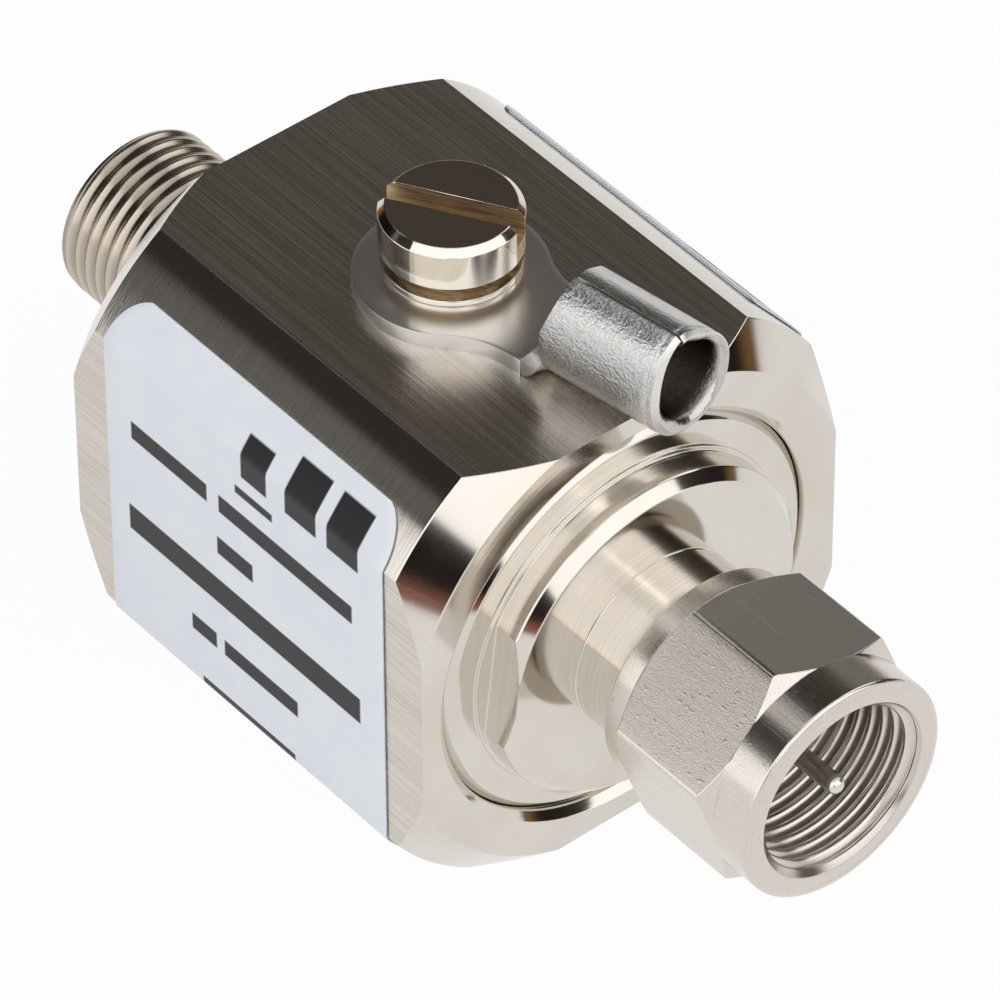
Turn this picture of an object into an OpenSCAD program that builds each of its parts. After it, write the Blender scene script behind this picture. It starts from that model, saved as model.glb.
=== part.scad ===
// Coaxial lightning arrestor: a square-flatted turned body with a plug and a captive nut at one end,
// a threaded jack at the other, a gas tube inside and an earth screw with a crimp ring lug on top.
// Lengths are millimetres. The coax axis runs along X, the plug points to +X and the screw to +Z.

/* [Body] */
// Width of the body across its four flats
body_flats = 25.4; // [25:0.1:27]
// Diameter of the bar that the body is turned from
body_d = 30.7; // [30:0.1:34]
// Length of the body along the coax axis
body_len = 26.3; // [25:0.1:32]
// Chamfer on both ends of the body
body_chamfer = 1.9; // [0.5:0.1:2.1]
// Diameter of the chamber inside the body
chamber_d = 18.8; // [18.2:0.1:19.4]
// Thickness of the wall at the rear of the chamber
rear_wall = 4.3; // [3.5:0.1:5]

/* [Plug flange] */
// Diameter of the collar that closes the chamber
collar_d = 22.2; // [21.6:0.1:22.6]
// Thickness of the collar
collar_t = 2.2; // [1.6:0.1:3]
// Depth of the collar's face below the end of the body
collar_sink = 0.3; // [0.1:0.05:0.6]
// Bevel on the rim of the collar and on the mouth around it
collar_bevel = 0.45; // [0.2:0.05:0.6]
// Diameter of the low step under the spanner disc
step_d = 18.7; // [18.4:0.1:20]
// Height of the low step under the spanner disc
step_h = 0.15; // [0.05:0.05:0.4]
// Diameter of the spanner disc
disc_d = 18.2; // [17.6:0.1:18.4]
// Height of the spanner disc above the collar
disc_h = 2.1; // [1.6:0.1:3]
// Chamfer on the front edge of the spanner disc
disc_chamfer = 0.55; // [0.2:0.05:1]
// Width across the two spanner flats
spanner_flats = 17; // [16.6:0.1:17.5]
// Angle at which the screwed-in flange has come to a stop
flange_turn = -6.6; // [-30:0.1:30]
// Length of the spigot inside the chamber
spigot_len = 2.6; // [2.2:0.1:4]
// Diameter of the neck between the disc and the nut
neck_d = 9.8; // [9.2:0.1:10.4]
// Length of the neck
neck_len = 3; // [2:0.1:5]
// Diameter of the post that carries the nut
post_d = 7.4; // [7:0.1:7.6]
// Length of the post inside the nut
post_len = 3.2; // [2.8:0.1:5]
// Bore through the flange, neck and post
flange_bore_d = 5.2; // [4.4:0.1:5.6]
// Width of the groove for the chamber seal
seal_groove_w = 1; // [0.9:0.05:1.2]
// Depth of the groove for the chamber seal
seal_groove_depth = 0.8; // [0.7:0.05:0.9]

/* [Coupling nut] */
// Width of the nut across its flats
nut_flats = 11.8; // [11.7:0.05:12.6]
// Overall length of the nut
nut_len = 10.2; // [9.5:0.1:13]
// Diameter of the round collar at the back of the nut
nut_back_d = 11.6; // [11:0.05:11.6]
// Length of the round collar at the back of the nut
nut_back_len = 1.15; // [0.8:0.05:1.5]
// Diameter of the round nose of the nut
nut_nose_d = 12; // [11.8:0.05:12.2]
// Length of the round nose of the nut
nut_nose_len = 2.3; // [1.5:0.1:3]
// Radius of the rounded shoulder on the nose
nut_nose_round = 0.25; // [0.2:0.05:0.7]
// Slope of the chamfers on the hexagon
nut_chamfer_angle = 33; // [20:1:45]
// Crest diameter of the thread inside the nut
nut_thread_d = 8.72; // [8.6:0.02:9]
// Diameter of the countersink at the mouth of the thread
nut_mouth_d = 9.7; // [9.2:0.05:10]
// Thickness of the lip that holds the nut on its post
nut_lip = 1.4; // [1:0.1:1.6]
// Angle at which the nut stands
nut_turn = 16.6; // [0:0.1:60]

/* [Retaining ring] */
// Thickness of the ring
ring_t = 0.6; // [0.4:0.05:0.8]
// Depth of the ring's groove in the post
ring_groove = 0.5; // [0.3:0.05:0.6]
// Height of the ring above the post
ring_proud = 0.5; // [0.3:0.05:0.55]
// Width of the gap that lets the ring open
ring_gap = 2; // [1:0.1:3]

/* [Jack] */
// Diameter over the thread of the jack
jack_d = 9.48; // [9.3:0.02:9.52]
// Length of the jack behind the body
jack_len = 11.8; // [11:0.1:15]
// Chamfer at the end of the jack's thread
jack_chamfer = 0.2; // [0.1:0.05:0.6]
// Pitch of the jack's thread
jack_pitch = 0.794; // [0.5:0.001:1]
// Depth of the jack's thread
jack_thread_depth = 0.29; // [0.2:0.01:0.32]
// Diameter of the shank that is pressed into the body
shank_d = 8; // [7.6:0.1:9]
// Bore through the jack
jack_bore_d = 6.6; // [5.6:0.1:7]
// Length of the insulator at the mouth of the jack
jack_insulator_len = 4.6; // [3:0.1:6]
// Depth of the insulator's face inside the mouth
jack_insulator_sink = 0.5; // [0.2:0.1:1]
// Thickness of the insulator's face in front of the contact
jack_face = 1.1; // [0.6:0.1:2]
// Diameter of the lead-in hole in the insulator's face
lead_in_d = 1.4; // [1.2:0.1:2]
// Outside diameter of the spring contact
contact_d = 2.7; // [2.2:0.1:3.2]
// Bore of the spring contact
contact_bore_d = 1.06; // [0.9:0.02:1.4]
// Width of the slots that make the contact springy
contact_slot = 0.25; // [0.15:0.05:0.4]
// Thickness of the bead that carries the conductor
bead_t = 3; // [2:0.1:4]

/* [Centre conductor] */
// Diameter of the conductor inside the chamber
conductor_d = 3.2; // [2.8:0.1:4]
// Diameter of the pin in the plug
pin_d = 1; // [0.8:0.02:1.2]
// Diameter of the pin where the insulator grips it
pin_root_d = 1.5; // [1.3:0.1:2]
// Depth of the pin's tip inside the nut's mouth
pin_sink = 0.15; // [0.05:0.05:1]
// Diameter of the tail that holds the spring contact
tail_d = 1.7; // [1.3:0.1:2]
// Depth of the tail inside the spring contact
tail_len = 2; // [1.5:0.1:3]
// Height above the coax axis of the flat under the gas tube
seat_h = 1; // [0.7:0.05:1.3]
// Diameter of the insulator's flange behind the spigot
insulator_flange_d = 9; // [7:0.1:12]
// Thickness of the insulator's flange
insulator_flange_t = 1; // [0.6:0.1:1.5]

/* [Gas tube] */
// Diameter of the ceramic tube
tube_d = 8; // [6:0.1:9]
// Length of the gas tube over its electrodes
tube_len = 6; // [5:0.1:6.5]
// Thickness of each electrode
electrode_t = 0.8; // [0.5:0.05:1.2]
// Step from the ceramic in to the edge of the electrodes
electrode_step = 0.1; // [0.05:0.05:0.3]
// Height of the dished contact spring
spring_h = 1.2; // [0.8:0.05:1.5]
// Thickness of the contact spring
spring_t = 0.3; // [0.2:0.05:0.4]
// Outside diameter of the contact spring
spring_d = 6.8; // [5.5:0.1:7]
// Diameter of the hole in the contact spring
spring_hole_d = 2; // [1.4:0.1:2.4]

/* [Earth screw and lug] */
// Diameter of the screw's thread
screw_d = 4; // [3:0.1:4.4]
// Diameter of the screw's head
head_d = 7; // [6.6:0.1:8]
// Height of the screw's head
head_h = 2.3; // [2:0.1:3.2]
// Chamfer on the rim of the head
head_chamfer = 0.36; // [0.1:0.02:0.8]
// Diameter of the groove turned under the head
shoulder_d = 5.2; // [4.8:0.1:6]
// Height of the groove turned under the head
shoulder_h = 0.8; // [0.3:0.05:1]
// Width of the screwdriver slot
slot_w = 1.2; // [0.8:0.1:1.6]
// Depth of the screwdriver slot
slot_depth = 1.2; // [0.8:0.1:1.6]
// Angle at which the slot stands
slot_turn = 31; // [0:1:90]
// Diameter of the washer on the lug
washer_d = 6.8; // [6.6:0.1:9]
// Thickness of the washer on the lug
washer_t = 0.34; // [0.2:0.02:0.6]
// Thickness of the sheet that the lug is stamped from
lug_t = 0.85; // [0.6:0.05:1]
// Outside diameter of the lug's ring
lug_ring_d = 9.46; // [9:0.02:11]
// Hole in the lug's ring
lug_hole_d = 5.4; // [5.4:0.1:5.8]
// Shift of the ring under the screw, forwards along the lug
lug_slip_x = 0.4; // [0:0.05:0.45]
// Shift of the ring under the screw, to the left of the lug
lug_slip_y = 0.5; // [0:0.05:0.5]
// Heading of the lug from the coax axis
lug_turn = 9; // [-20:1:30]
// Width of the lug's neck
lug_neck_w = 5.5; // [4:0.1:5.8]
// Radius of the curve from the ring to the neck
lug_fillet = 5; // [3:0.1:8]
// Distance from the ring's centre to the crimp barrel
barrel_start = 8.2; // [7.8:0.1:10]
// Length of the crimp barrel
barrel_len = 6.9; // [5:0.1:9]
// Outside diameter of the crimp barrel
barrel_d = 5.7; // [5.4:0.1:6.6]
// Shift of the crimp barrel to the left of the lug
barrel_shift = 0.3; // [0:0.05:0.5]
// Angle of the crimp barrel's seam from the top
seam_turn = 16; // [0:1:30]
// Height of the barrel's left edge above the round, where its two edges meet
seam_rise = 0.9; // [0:0.05:1.2]
// Height of the barrel's right edge above the round
seam_low_rise = 0.6; // [0:0.05:0.9]
// How much the barrel is pressed in on the right of its seam
barrel_press = 0.5; // [0:0.05:0.6]
// Slant of the barrel's rear end from the upright, above the middle of its upper half
rear_slant = 21; // [5:1:30]
// Width of the slit between the barrel's edges
seam_slit = 0.12; // [0.08:0.02:0.3]
// Length over which the flat neck rolls up into the barrel
lug_roll_len = 1.5; // [1:0.1:2]

/* [Labels] */
// Length of each label along the body
label_len = 20.9; // [16:0.1:21.5]
// Angle around the axis to which a label reaches, from its flat's middle
label_reach = 45; // [40:0.5:50]
// Thickness of a label
label_t = 0.1; // [0.08:0.01:0.2]
// Radius of a label's corners
label_corner = 2.1; // [1:0.1:3]

/* [Fits] */
// Radial clearance of a running fit
run_fit = 0.06; // [0.03:0.01:0.1]
// Radial clearance of a screwed or pressed fit
seat_fit = 0.02; // [0.01:0.01:0.04]
// End play of the nut on each side of its lip
nut_play = 0.15; // [0.1:0.05:0.3]
// Glue line under a label
glue_line = 0.02; // [0.01:0.01:0.05]

/* [Hidden] */
$fn = 96;
// Extra length of a cut past the face that it opens
eps = 0.5;
// Steps in a turned quarter round
arc_steps = 8;
// Flat crest of a thread, a share of its pitch
crest_share = 0.38;
// Angle of a thread's flank from the upright
flank_angle = 36;
// Powers of the cosine that fade the barrel's rise away from its seam, on the left and on the right
seam_fade = 18;
seam_low_fade = 60;
half_flats = body_flats / 2;
body_r = body_d / 2;
mouth_d = collar_d + 2 * seat_fit;
collar_face_x = -collar_sink;
collar_seat_x = collar_face_x - collar_t;
spigot_x = collar_seat_x - spigot_len;
spigot_d = chamber_d - 2 * seat_fit;
disc_face_x = collar_face_x + disc_h;
neck_end_x = disc_face_x + neck_len;
post_end_x = neck_end_x + post_len;
chamber_x = rear_wall - body_len;
jack_root_x = -body_len;
jack_end_x = jack_root_x - jack_len;
nut_x = neck_end_x + nut_play;
nut_end_x = nut_x + nut_len;
nut_corner_r = nut_flats / sqrt(3);
nut_rise = tan(nut_chamfer_angle);
nut_lip_bore_d = post_d + 2 * run_fit;
hex_back_x = nut_x + nut_back_len;
hex_front_x = nut_end_x - nut_nose_len;
ring_x = nut_x + nut_lip + nut_play;
ring_d = post_d + 2 * ring_proud;
ring_bore_d = post_d - 2 * ring_groove;
seal_d = seal_groove_depth - 2 * seat_fit;
seal_x = collar_seat_x - spigot_len / 2;
bead_x = chamber_x - bead_t;
tail_x = bead_x - tail_len;
contact_end_x = jack_end_x + jack_insulator_sink + jack_face;
pin_x = nut_end_x - pin_sink;
tube_x = -body_len / 2;
tube_top = seat_h + tube_len;
spring_top = tube_top + spring_h;
lug_bottom = half_flats;
washer_bottom = lug_bottom + lug_t;
shoulder_bottom = washer_bottom + washer_t;
head_bottom = shoulder_bottom + shoulder_h;
head_top = head_bottom + head_h;
barrel_r = barrel_d / 2;
// Skin left off the rolled neck, so that its faces lie inside the pieces that it joins
sheet_skin = 0.03;
// Least curve of the rolled neck, a share of the barrel's curve
flat_roll = 0.001;
label_out = glue_line + label_t;
label_half_h = (body_r + label_out) * sin(label_reach);

// Shift from the coax axis to the middle of the whole part's underside
frame_shift = [-(nut_end_x + jack_end_x) / 2, 0, half_flats];

// Solid of revolution about the coax axis, from points given as [radius, x]
module turned(points) {
  rotate([0, 90, 0])
    rotate_extrude()
      polygon(points);
}

// Round bar along the coax axis from x0 to x1
module bar(d, x0, x1) {
  translate([x0, 0, 0])
    rotate([0, 90, 0])
      cylinder(d = d, h = x1 - x0);
}

// Hole along the coax axis, longer than its wall at the ends that are open
module bore(d, x0, x1) {
  bar(d, x0 - eps, x1 + eps);
}

// Upright disc at the gas tube's place, from z0 to z1
module upright(d, z0, z1) {
  translate([tube_x, 0, z0])
    cylinder(d = d, h = z1 - z0);
}

// Quarter circle of points about [r, x], from the side round to the end
function quarter_round(r, x, radius) =
  [for (i = [0:arc_steps]) let (a = 90 * i / arc_steps) [r + radius * cos(a), x + radius * sin(a)]];

// Body section across the flats, grown outwards by a skin
module body_section(grow) {
  intersection() {
    circle(r = body_r + grow);
    square(body_flats + 2 * grow, center = true);
  }
}

// Everything is drawn about the coax axis and then set on its underside
module on_base() {
  translate(frame_shift)
    children();
}

module body() {
  color("#8f8a84")
    on_base()
      difference() {
        intersection() {
          turned([[0, -body_len], [body_r - body_chamfer, -body_len], [body_r, body_chamfer - body_len],
                  [body_r, -body_chamfer], [body_r - body_chamfer, 0], [0, 0]]);
          translate([-body_len - eps, -half_flats, -half_flats])
            cube([body_len + 2 * eps, body_flats, body_flats]);
        }
        bar(mouth_d, collar_seat_x, eps);
        turned([[0, -collar_bevel], [mouth_d / 2, -collar_bevel], [mouth_d / 2 + collar_bevel, 0],
                [mouth_d / 2 + collar_bevel, eps], [0, eps]]);
        bar(chamber_d, chamber_x, collar_seat_x + eps);
        bore(shank_d + 2 * seat_fit, jack_root_x, chamber_x);
        translate([tube_x, 0, 0])
          cylinder(d = screw_d + 2 * seat_fit, h = half_flats + eps);
      }
}

module plug_flange() {
  color("#cdc6bd")
    on_base()
      rotate([flange_turn, 0, 0])
        difference() {
          union() {
            turned([[0, spigot_x], [spigot_d / 2, spigot_x], [spigot_d / 2, collar_seat_x],
                    [collar_d / 2, collar_seat_x], [collar_d / 2, collar_face_x - collar_bevel],
                    [collar_d / 2 - collar_bevel, collar_face_x], [step_d / 2, collar_face_x],
                    [step_d / 2, collar_face_x + step_h], [0, collar_face_x + step_h]]);
            intersection() {
              turned([[0, collar_face_x], [disc_d / 2, collar_face_x],
                      [disc_d / 2, disc_face_x - disc_chamfer], [disc_d / 2 - disc_chamfer, disc_face_x],
                      [0, disc_face_x]]);
              translate([collar_face_x, -spanner_flats / 2, -disc_d])
                cube([disc_h, spanner_flats, 2 * disc_d]);
            }
            bar(neck_d, collar_face_x, neck_end_x);
            bar(post_d, collar_face_x, post_end_x);
          }
          bore(flange_bore_d, spigot_x, post_end_x);
          bar(insulator_flange_d + 2 * seat_fit, spigot_x - eps, spigot_x + insulator_flange_t);
          difference() {
            bar(chamber_d, seal_x - seal_groove_w / 2, seal_x + seal_groove_w / 2);
            bar(chamber_d - 2 * seal_groove_depth, seal_x - seal_groove_w, seal_x + seal_groove_w);
          }
          difference() {
            bar(post_d + eps, ring_x, ring_x + ring_t);
            bar(ring_bore_d, ring_x - eps, ring_x + ring_t + eps);
          }
        }
}

module flange_seal() {
  color("#1d1d1f")
    on_base()
      translate([seal_x, 0, 0])
        rotate([0, 90, 0])
          rotate_extrude()
            translate([(chamber_d - seal_groove_depth) / 2, 0])
              circle(d = seal_d);
}

module coupling_nut() {
  nose_r = nut_nose_d / 2;
  core_r = (nut_thread_d + nut_flats) / 4;
  skin_r = nut_corner_r + eps;
  back_rise = (skin_r - nut_back_d / 2) * nut_rise;
  front_rise = (skin_r - nose_r) * nut_rise;
  mouth_depth = (nut_mouth_d - nut_thread_d) / 2;
  color("#bdb6ae")
    on_base()
      difference() {
        union() {
          intersection() {
            turned([[0, nut_x], [nut_back_d / 2, nut_x], [nut_back_d / 2, hex_back_x],
                    [skin_r, hex_back_x + back_rise], [skin_r, hex_front_x - front_rise],
                    [nose_r, hex_front_x], [0, hex_front_x]]);
            rotate([nut_turn, 0, 0])
              translate([nut_x, 0, 0])
                rotate([0, 90, 0])
                  cylinder(r = nut_corner_r, h = nut_len - nut_nose_len, $fn = 6);
          }
          turned(concat([[0, hex_back_x], [core_r, hex_back_x], [core_r, hex_front_x], [nose_r, hex_front_x]],
                        quarter_round(nose_r - nut_nose_round, nut_end_x - nut_nose_round, nut_nose_round),
                        [[0, nut_end_x]]));
        }
        bore(nut_lip_bore_d, nut_x, nut_end_x);
        bar(nut_thread_d, nut_x + nut_lip, nut_end_x + eps);
        turned([[0, nut_end_x - mouth_depth], [nut_thread_d / 2, nut_end_x - mouth_depth],
                [nut_mouth_d / 2, nut_end_x], [nut_mouth_d / 2, nut_end_x + eps], [0, nut_end_x + eps]]);
      }
}

module retaining_ring() {
  color("#9a948b")
    on_base()
      difference() {
        bar(ring_d, ring_x + seat_fit, ring_x + ring_t - seat_fit);
        bore(ring_bore_d + 2 * seat_fit, ring_x, ring_x + ring_t);
        translate([ring_x - eps, -ring_gap / 2, -ring_d])
          cube([ring_t + 2 * eps, ring_gap, ring_d]);
      }
}

module plug_insulator() {
  color("#f2f1ec")
    on_base()
      difference() {
        union() {
          bar(flange_bore_d - 2 * seat_fit, spigot_x, post_end_x);
          bar(insulator_flange_d, spigot_x, spigot_x + insulator_flange_t);
        }
        bore(pin_root_d + 2 * seat_fit, spigot_x, post_end_x);
      }
}

module centre_conductor() {
  pin_r = pin_d / 2;
  flat_len = tube_d + 2 * eps;
  color("#a8a49d")
    on_base()
      difference() {
        union() {
          bar(conductor_d, chamber_x, spigot_x);
          bar(tail_d, tail_x, chamber_x + eps);
          bar(pin_root_d, spigot_x - eps, post_end_x);
          turned(concat([[0, spigot_x], [pin_r, spigot_x]], quarter_round(0, pin_x - pin_r, pin_r)));
        }
        translate([tube_x - flat_len / 2, -conductor_d, seat_h])
          cube([flat_len, 2 * conductor_d, conductor_d]);
      }
}

// Grooves of a thread along a turned outline of radius r, one for each pitch from x on
function thread_grooves(r, x, pitch, depth, count) =
  let (crest = pitch * crest_share / 2, flank = crest + depth * tan(flank_angle))
  [for (i = [0:count - 1]) let (low = x + i * pitch, high = low + pitch)
    each [[r, low + crest], [r - depth, low + flank], [r - depth, high - flank], [r, high - crest]]];

module jack_barrel() {
  jack_r = jack_d / 2;
  thread_x = jack_end_x + jack_chamfer;
  turns = floor((jack_len - jack_chamfer) / jack_pitch);
  color("#c3bbb0")
    on_base()
      difference() {
        union() {
          turned(concat([[0, jack_end_x], [jack_r - jack_chamfer, jack_end_x], [jack_r, thread_x]],
                        thread_grooves(jack_r, thread_x, jack_pitch, jack_thread_depth, turns),
                        [[jack_r, jack_root_x], [0, jack_root_x]]));
          bar(shank_d, jack_root_x - eps, chamber_x);
        }
        bore(jack_bore_d, jack_end_x, chamber_x);
      }
}

module line_bead() {
  color("#eeece6")
    on_base()
      difference() {
        bar(jack_bore_d - 2 * seat_fit, bead_x, chamber_x);
        bore(tail_d + 2 * seat_fit, bead_x, chamber_x);
      }
}

module jack_insulator() {
  face_x = jack_end_x + jack_insulator_sink;
  color("#f0efe9")
    on_base()
      difference() {
        bar(jack_bore_d - 2 * seat_fit, face_x, face_x + jack_insulator_len);
        bore(lead_in_d, face_x, face_x + jack_insulator_len);
        bar(contact_d + 2 * seat_fit, contact_end_x, face_x + jack_insulator_len + eps);
      }
}

module jack_contact() {
  color("#c9a24e")
    on_base()
      difference() {
        bar(contact_d, contact_end_x, bead_x);
        bore(contact_bore_d, contact_end_x, bead_x);
        bar(tail_d + 2 * seat_fit, tail_x, bead_x + eps);
        translate([contact_end_x - eps, -contact_slot / 2, -contact_d])
          cube([(bead_x - contact_end_x) / 2 + eps, contact_slot, 2 * contact_d]);
      }
}

module gas_tube_ceramic() {
  color("#efe8dc")
    on_base()
      upright(tube_d, seat_h + electrode_t, tube_top - electrode_t);
}

module lower_electrode() {
  color("#b9b5ae")
    on_base()
      upright(tube_d - 2 * electrode_step, seat_h, seat_h + electrode_t);
}

module upper_electrode() {
  color("#b9b5ae")
    on_base()
      upright(tube_d - 2 * electrode_step, tube_top - electrode_t, tube_top);
}

module contact_spring() {
  color("#c08a4a")
    on_base()
      translate([tube_x, 0, 0])
        rotate_extrude()
          polygon([[spring_d / 2 - spring_t, tube_top], [spring_d / 2, tube_top],
                   [spring_d / 2, tube_top + spring_t],
                   [spring_hole_d / 2 + spring_t, spring_top], [spring_hole_d / 2, spring_top],
                   [spring_hole_d / 2, spring_top - spring_t]]);
}

module earth_screw() {
  color("#b7b0a6")
    on_base()
      translate([tube_x, 0, 0])
        difference() {
          rotate_extrude()
            polygon([[0, spring_top], [screw_d / 2, spring_top], [screw_d / 2, shoulder_bottom],
                     [shoulder_d / 2, shoulder_bottom], [shoulder_d / 2, head_bottom],
                     [head_d / 2, head_bottom], [head_d / 2, head_top - head_chamfer],
                     [head_d / 2 - head_chamfer, head_top], [0, head_top]]);
          rotate([0, 0, slot_turn])
            translate([-head_d, -slot_w / 2, head_top - slot_depth])
              cube([2 * head_d, slot_w, slot_depth + eps]);
        }
}

module screw_washer() {
  color("#c6c0b7")
    on_base()
      difference() {
        upright(washer_d, washer_bottom, shoulder_bottom);
        upright(screw_d + 2 * run_fit, washer_bottom - eps, shoulder_bottom + eps);
      }
}

// Flat outline of the lug: its ring, and a neck that joins the ring in two curves
module lug_outline() {
  ring_r = lug_ring_d / 2;
  fillet_y = lug_neck_w / 2 + lug_fillet;
  fillet_x = sqrt(pow(ring_r + lug_fillet, 2) - pow(fillet_y, 2));
  touch = ring_r / (ring_r + lug_fillet);
  difference() {
    union() {
      circle(r = ring_r);
      polygon([[0, 0], [fillet_x * touch, -fillet_y * touch], [fillet_x, -lug_neck_w / 2],
               [barrel_start - lug_roll_len, -lug_neck_w / 2], [barrel_start - lug_roll_len, lug_neck_w / 2],
               [fillet_x, lug_neck_w / 2], [fillet_x * touch, fillet_y * touch]]);
    }
    for (side = [-1, 1])
      translate([fillet_x, side * fillet_y])
        circle(r = lug_fillet);
    circle(d = lug_hole_d);
  }
}

// Point of the rolled neck: s across the sheet, roll from 0 for flat to 1 for the barrel's curve
function sheet_point(s, lift, roll) =
  let (bend = max(roll, flat_roll) / (barrel_r - lug_t / 2),
       turn = s * bend * 180 / PI, radius = 1 / bend - lift)
  [radius * sin(turn), 1 / bend - radius * cos(turn) + lug_t / 2];

// Neck of the lug as it rolls up from the flat sheet into the barrel's wall
module lug_roll() {
  across = 14;
  along = 8;
  overlap = lug_t / 2;
  lift = lug_t / 2 - sheet_skin;
  width = lug_neck_w - 2 * sheet_skin;
  x0 = barrel_start - lug_roll_len - overlap;
  count = 2 * (across + 1);
  rolls = [for (i = [0:along]) let (t = i / along) t * t * (3 - 2 * t)];
  xs = [x0, for (i = [1:along - 1]) x0 + overlap + lug_roll_len * i / along, barrel_start + overlap];
  points = [for (i = [0:along], k = [0:count - 1])
    let (low = k <= across, j = low ? k : count - 1 - k, s = width * (j / across - 0.5),
         p = sheet_point(s, low ? -lift : lift, rolls[i]), shift = barrel_shift * rolls[i])
    [xs[i], p[0] - shift, p[1]]];
  sides = [for (i = [0:along - 1], k = [0:count - 1]) let (n = (k + 1) % count)
    [i * count + k, (i + 1) * count + k, (i + 1) * count + n, i * count + n]];
  ends = [for (j = [0:across - 1])
    each [[j, j + 1, count - 2 - j, count - 1 - j],
          [for (k = [count - 1 - j, count - 2 - j, j + 1, j]) along * count + k]]];
  polyhedron(points = points, faces = concat(sides, ends), convexity = 6);
}

// Outside radius of the crimp barrel at an angle from its seam, positive to the left
function barrel_skin(a) =
  let (rise = a > 0 ? seam_rise * pow(cos(a / 2), seam_fade) : seam_low_rise * pow(cos(a / 2), seam_low_fade),
       press = a > 0 ? 0 : barrel_press * pow(sin(a) * cos(a / 2), 2))
  barrel_r + rise - press;

// Outline of the crimp barrel, set in from its outside, from one edge of the seam round to the other
module barrel_outline(inset) {
  steps = 60;
  gap = asin(seam_slit / barrel_d) / 2;
  angles = [for (i = [0:steps]) let (a = gap + (360 - 2 * gap) * i / steps) a > 180 ? a - 360 : a];
  polygon([for (a = angles) (barrel_skin(a) - inset) * [-sin(a), cos(a)]]);
}

// Section of the crimp barrel: a rolled wall with a round bore, and a slit where its edges meet
module barrel_section() {
  difference() {
    barrel_outline(0);
    barrel_outline(lug_t);
    circle(r = barrel_r - lug_t);
    translate([-seam_slit / 2, 0])
      square([seam_slit, barrel_d]);
  }
}

// Cut that slants the upper half of the barrel's rear end towards its mouth
module slant_cut() {
  foot_z = barrel_r / 2;
  top_z = barrel_d;
  lean = tan(rear_slant);
  rotate([90, 0, 0])
    linear_extrude(2 * barrel_d, center = true)
      polygon([[-eps, foot_z - eps / lean], [(top_z - foot_z) * lean, top_z], [-eps, top_z]]);
}

module ring_lug() {
  color("#c9c8c6")
    on_base()
      translate([tube_x, 0, lug_bottom])
        rotate([0, 0, lug_turn])
          translate([lug_slip_x, -lug_slip_y, 0]) {
            linear_extrude(lug_t)
              lug_outline();
            lug_roll();
            translate([barrel_start, -barrel_shift, barrel_r])
              rotate([seam_turn, 0, 0])
                difference() {
                  rotate([90, 0, 90])
                    linear_extrude(barrel_len)
                      barrel_section();
                  slant_cut();
                }
          }
}

// Label on one side of the body: side is -1 for the left and 1 for the right
module label(side) {
  color("#eceff2")
    on_base()
      intersection() {
        translate([-body_len, 0, 0])
          rotate([90, 0, 90])
            linear_extrude(body_len)
              difference() {
                body_section(label_out);
                body_section(glue_line);
              }
        translate([-body_len / 2, side * body_r, 0])
          rotate([90, 0, 0])
            linear_extrude(body_r, center = true)
              label_outline();
      }
}

// Flat outline of a label, a rectangle with round corners
module label_outline() {
  long = label_len / 2 - label_corner;
  high = label_half_h - label_corner;
  square([label_len, 2 * high], center = true);
  square([2 * long, 2 * label_half_h], center = true);
  for (x = [-long, long], z = [-high, high])
    translate([x, z])
      circle(r = label_corner);
}

module left_label() {
  label(-1);
}

module right_label() {
  label(1);
}

body();
plug_flange();
flange_seal();
coupling_nut();
retaining_ring();
plug_insulator();
centre_conductor();
jack_barrel();
line_bead();
jack_insulator();
jack_contact();
gas_tube_ceramic();
lower_electrode();
upper_electrode();
contact_spring();
earth_screw();
screw_washer();
ring_lug();
left_label();
right_label();
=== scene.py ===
"""Looks of a coaxial lightning arrestor: threads, rounded edges, plated finishes, labels, studio and camera.

Lengths are millimetres until a mesh is made, and metres in the studio. Angles are degrees. The coax axis
runs along X.
"""
import bpy
import numpy as np
from mathutils import Matrix, Vector


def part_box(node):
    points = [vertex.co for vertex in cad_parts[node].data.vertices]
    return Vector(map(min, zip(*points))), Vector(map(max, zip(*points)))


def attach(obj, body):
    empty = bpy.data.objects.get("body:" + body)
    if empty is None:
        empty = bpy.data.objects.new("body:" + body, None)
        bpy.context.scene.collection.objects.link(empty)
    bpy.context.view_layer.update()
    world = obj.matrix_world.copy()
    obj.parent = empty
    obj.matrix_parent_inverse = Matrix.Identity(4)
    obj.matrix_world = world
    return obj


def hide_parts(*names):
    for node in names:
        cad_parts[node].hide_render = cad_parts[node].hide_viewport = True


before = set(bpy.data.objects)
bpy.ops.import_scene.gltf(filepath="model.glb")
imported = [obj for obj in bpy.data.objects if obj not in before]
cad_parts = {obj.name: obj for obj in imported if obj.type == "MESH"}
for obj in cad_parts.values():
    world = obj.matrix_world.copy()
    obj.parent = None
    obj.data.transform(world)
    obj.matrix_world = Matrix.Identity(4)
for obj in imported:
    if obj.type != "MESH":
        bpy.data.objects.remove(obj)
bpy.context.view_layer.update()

MM = 0.001


def box_mm(node):
    """Lowest and highest corner of a node of the frame, in millimetres."""
    low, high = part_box(node)
    return np.array(low) / MM, np.array(high) / MM


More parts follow.
